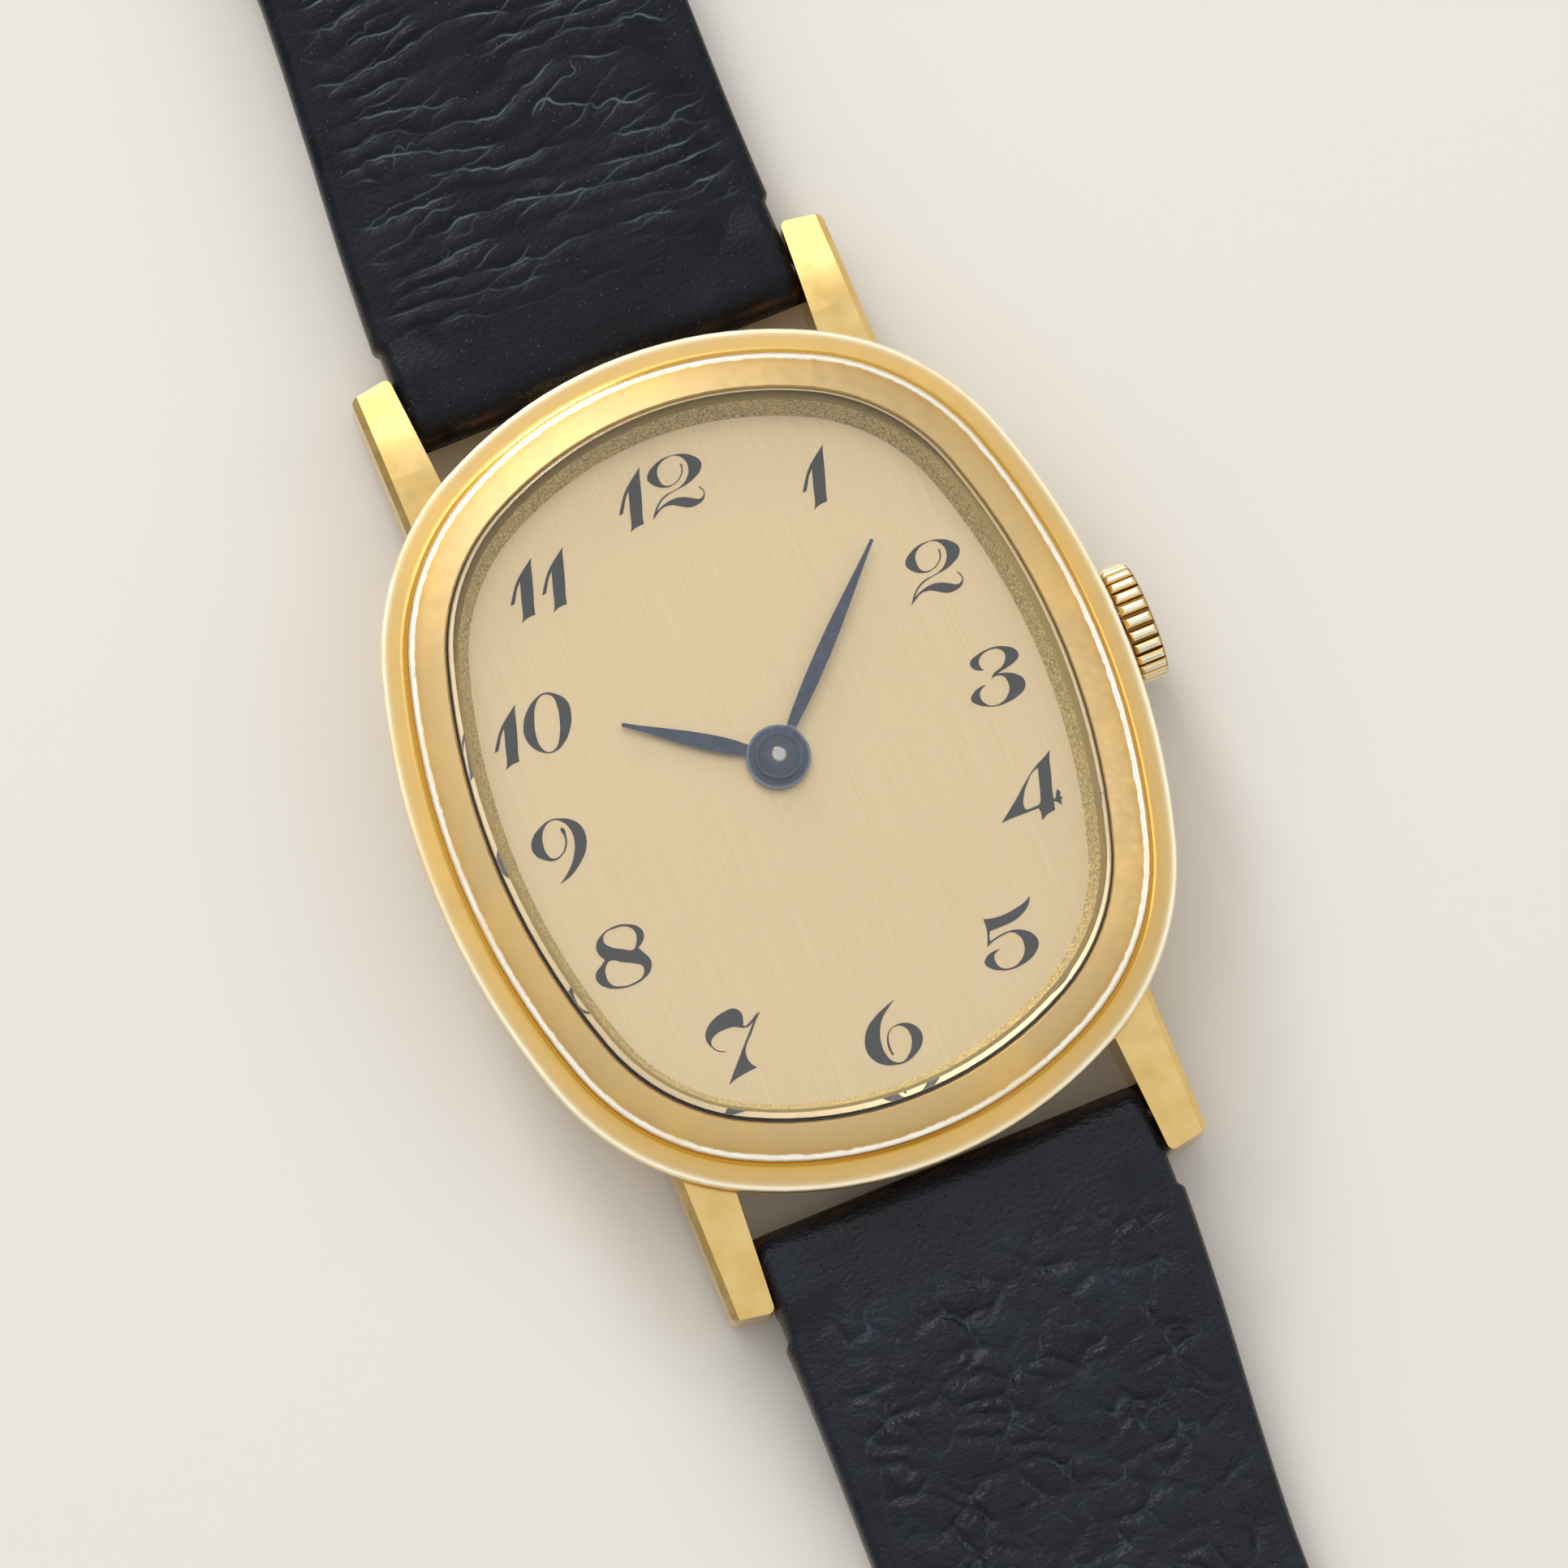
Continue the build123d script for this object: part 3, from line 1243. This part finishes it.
def layer(drop, end_y, point_length, border, below, above):
    """One layer of the strap, running out along +Y."""
    with BuildPart() as solid:
        with BuildSketch(Plane.YZ):
            add(strap_side(drop, end_y, below, above))
        extrude(amount=strap_width, both=True)
        with BuildSketch(Plane.XY.offset(-strap_width)):
            add(strap_plan(end_y, point_length, border))
        extrude(amount=2 * strap_width, mode=Mode.INTERSECT)
    return solid.part


def cross_post(place, radius, length, mode=Mode.ADD):
    """Round post along X, centred over the strap."""
    with Locations(Location((0, place[0], place[1]), (0, 90, 0))):
        Cylinder(radius, length, mode=mode)


half_thick = strap_thickness / 2
body_top = half_thick - strap_pad
lining_top = lining_thickness - half_thick
bar_place = (spring_bar_y, spring_bar_height)
buckle_y = spring_bar_y + buckle_half_length
buckle_height = spring_bar_height - buckle_drop
buckle_place = (buckle_y, buckle_height)
long_end_y = spring_bar_y + long_half_length

# Buckle half: upper leather with a loop at each end, and its lining
with BuildPart() as strap_12_top:
    add(layer(buckle_drop, buckle_y, 0, 0, lining_top, body_top))
    add(layer(buckle_drop, buckle_y - pad_end, 0, strap_border, body_top, half_thick))
    cross_post(bar_place, half_thick, strap_neck_width)
    cross_post(buckle_place, half_thick, strap_end_width)
    cross_post(bar_place, bar_tube_radius + press_gap, strap_width, mode=Mode.SUBTRACT)
    cross_post(buckle_place, buckle_bar_radius + running_gap, strap_width, mode=Mode.SUBTRACT)
    with Locations((0, buckle_y + half_thick, buckle_height)):
        Box(tongue_slot_width, 2 * tongue_slot_length, strap_thickness + lining_thickness,
            mode=Mode.SUBTRACT)

with BuildPart() as strap_12_lining:
    add(layer(buckle_drop, buckle_y, 0, 0, -half_thick, lining_top))
    cross_post(bar_place, half_thick, strap_width, mode=Mode.SUBTRACT)
    cross_post(buckle_place, half_thick, strap_width, mode=Mode.SUBTRACT)
    with Locations((0, buckle_y + half_thick, buckle_height)):
        Box(tongue_slot_width, 2 * tongue_slot_length, strap_thickness + lining_thickness,
            mode=Mode.SUBTRACT)

# Long half: the same two layers with a rounded tip and a row of holes
with BuildPart() as long_top:
    add(layer(long_drop, long_end_y, strap_point, 0, lining_top, body_top))
    add(layer(long_drop, long_end_y, strap_point, strap_border, body_top, half_thick))
    cross_post(bar_place, half_thick, strap_neck_width)
    cross_post(bar_place, bar_tube_radius + press_gap, strap_width, mode=Mode.SUBTRACT)
    for hole in range(strap_holes):
        post((0, long_end_y - first_hole - hole * hole_pitch), hole_radius, -strap_thickness,
             2 * strap_thickness, mode=Mode.SUBTRACT)

with BuildPart() as long_lining:
    add(layer(long_drop, long_end_y, strap_point, 0, -half_thick, lining_top))
    cross_post(bar_place, half_thick, strap_width, mode=Mode.SUBTRACT)
    for hole in range(strap_holes):
        post((0, long_end_y - first_hole - hole * hole_pitch), hole_radius, -strap_thickness,
             2 * strap_thickness, mode=Mode.SUBTRACT)

with BuildPart() as strap_6_top:
    add(long_top.part.rotate(Axis.Z, 180))

with BuildPart() as strap_6_lining:
    add(long_lining.part.rotate(Axis.Z, 180))

# Keepers: closed leather loops round the buckle half
keepers = {}
for keeper_name, keeper_y, floor in (("fixed_keeper", fixed_keeper_y, keeper_wall + keeper_gap),
                                     ("free_keeper", free_keeper_y, keeper_wall)):
    keeper_inner_top = buckle_height + half_thick + strap_thickness
    with BuildPart() as keeper:
        with BuildSketch(Plane.XZ.offset(-keeper_y)):
            with Locations((0, (keeper_inner_top + keeper_wall) / 2)):
                RectangleRounded(strap_end_width + 2 * keeper_side_gap + 2 * keeper_wall,
                                 keeper_inner_top + keeper_wall, keeper_corner)
            with Locations((0, (keeper_inner_top + floor) / 2)):
                RectangleRounded(strap_end_width + 2 * keeper_side_gap, keeper_inner_top - floor,
                                 keeper_inner_corner, mode=Mode.SUBTRACT)
        extrude(amount=-keeper_width)
    keepers[keeper_name] = keeper

# Buckle: frame, bar and tongue
with BuildPart() as buckle_frame:
    with BuildSketch(Plane.XY.offset(buckle_height - frame_thickness / 2)):
        with Locations((0, buckle_y + frame_length / 2 - frame_eye_radius / 2)):
            RectangleRounded(frame_width, frame_length + frame_eye_radius, frame_corner)
        with Locations((0, buckle_y + (frame_length - frame_front_width) / 2 - frame_eye_radius)):
            Rectangle(frame_width - 2 * frame_arm_width,
                      frame_length - frame_front_width + 2 * frame_eye_radius, mode=Mode.SUBTRACT)
    extrude(amount=frame_thickness)
    frame_edges = buckle_frame.edges().filter_by(Axis.Z, reverse=True)
    fillet(frame_edges, frame_edge)
    cross_post(buckle_place, buckle_bar_radius, frame_width + strap_width, mode=Mode.SUBTRACT)

with BuildPart() as buckle_bar:
    cross_post(buckle_place, buckle_bar_radius, frame_width - 2 * loose_gap)

with BuildPart() as buckle_tongue:
    cross_post(buckle_place, tongue_eye_radius, tongue_width)
    with BuildSketch(Plane.YZ):
        with BuildLine():
            Polyline((buckle_y, buckle_height + buckle_bar_radius),
                     (buckle_y, buckle_height + tongue_eye_radius),
                     (buckle_y + tongue_rise, tongue_low + tongue_thickness),
                     (buckle_y + tongue_length, tongue_low + tongue_thickness),
                     (buckle_y + tongue_length, tongue_low),
                     (buckle_y + tongue_rise, tongue_low), close=True)
        make_face()
    extrude(amount=tongue_width / 2, both=True)
    cross_post(buckle_place, buckle_bar_radius + running_gap, frame_width, mode=Mode.SUBTRACT)
    fillet(buckle_tongue.edges().filter_by(Axis.Z).sort_by(Axis.Y)[-2:], tongue_width / 3)

# Spring bars: a tube with a sprung tip in each end
spring_bars = {}
for end_name, end in (("12", 1), ("6", -1)):
    with BuildPart() as bar_tube:
        cross_post((end * spring_bar_y, spring_bar_height), bar_tube_radius, 2 * bar_tube_half)
        for side in (1, -1):
            with Locations(Location((side * bar_tube_half, end * spring_bar_y, spring_bar_height),
                                    (0, 90, 0))):
                Cylinder(bar_tip_radius + running_gap, 2 * bar_bore_depth, mode=Mode.SUBTRACT)
    spring_bars["spring_bar_" + end_name] = bar_tube
    for side_name, side in (("right", 1), ("left", -1)):
        with BuildPart() as bar_tip:
            tip_middle = side * (bar_tip_end + bar_tip_start) / 2
            collar_middle = side * (bar_collar_start + bar_collar_width / 2)
            with Locations(Location((tip_middle, end * spring_bar_y, spring_bar_height), (0, 90, 0))):
                Cylinder(bar_tip_radius, bar_tip_end - bar_tip_start)
            with Locations(Location((collar_middle, end * spring_bar_y, spring_bar_height),
                                    (0, 90, 0))):
                Cylinder(bar_collar_radius, bar_collar_width)
        spring_bars["bar_tip_" + end_name + "_" + side_name] = bar_tip

# Every piece under its own name
nodes = {
    "case_middle": case_middle,
    "bezel": bezel,
    "crystal": crystal,
    "crystal_seal": crystal_seal,
    "dial_ring": dial_ring,
    "dial": dial,
    "hour_hand": hour_hand,
    "minute_hand": minute_hand,
    "caseback": caseback,
    "caseback_gasket": caseback_gasket,
    "crown": crown,
    "case_tube": case_tube,
    "crown_seal": crown_seal,
    "winding_stem": winding_stem,
    "winding_pinion": winding_pinion,
    "sliding_pinion": sliding_pinion,
    "setting_lever": setting_lever,
    "yoke": yoke,
    "movement_ring": movement_ring,
    "main_plate": main_plate,
    "barrel_bridge": barrel_bridge,
    "train_bridge": train_bridge,
    "pallet_cock": pallet_cock,
    "balance_cock": balance_cock,
    "bridge_screws": bridge_screws,
    "jewels": jewels,
    "barrel": barrel,
    "barrel_cover": barrel_cover,
    "barrel_arbor": barrel_arbor,
    "mainspring": mainspring,
    "ratchet_wheel": ratchet_wheel,
    "crown_wheel": crown_wheel,
    "click": click,
    "click_spring": click_spring,
    "centre_wheel": centre_wheel,
    "third_wheel": third_wheel,
    "fourth_wheel": fourth_wheel,
    "escape_wheel": escape_wheel,
    "pallet_fork": pallet_fork,
    "balance_wheel": balance_wheel,
    "hairspring": hairspring,
    "cannon_pinion": cannon_pinion,
    "minute_wheel": minute_wheel,
    "hour_wheel": hour_wheel,
    "dial_washer": dial_washer,
    "strap_12_top": strap_12_top,
    "strap_12_lining": strap_12_lining,
    "strap_6_top": strap_6_top,
    "strap_6_lining": strap_6_lining,
    "buckle_frame": buckle_frame,
    "buckle_bar": buckle_bar,
    "buckle_tongue": buckle_tongue,
    **keepers,
    **spring_bars,
}
for name, piece in nodes.items():
    piece.part.label = name
    export_step(piece.part, f"parts/{name}.step")
print(len(nodes), "pieces written")
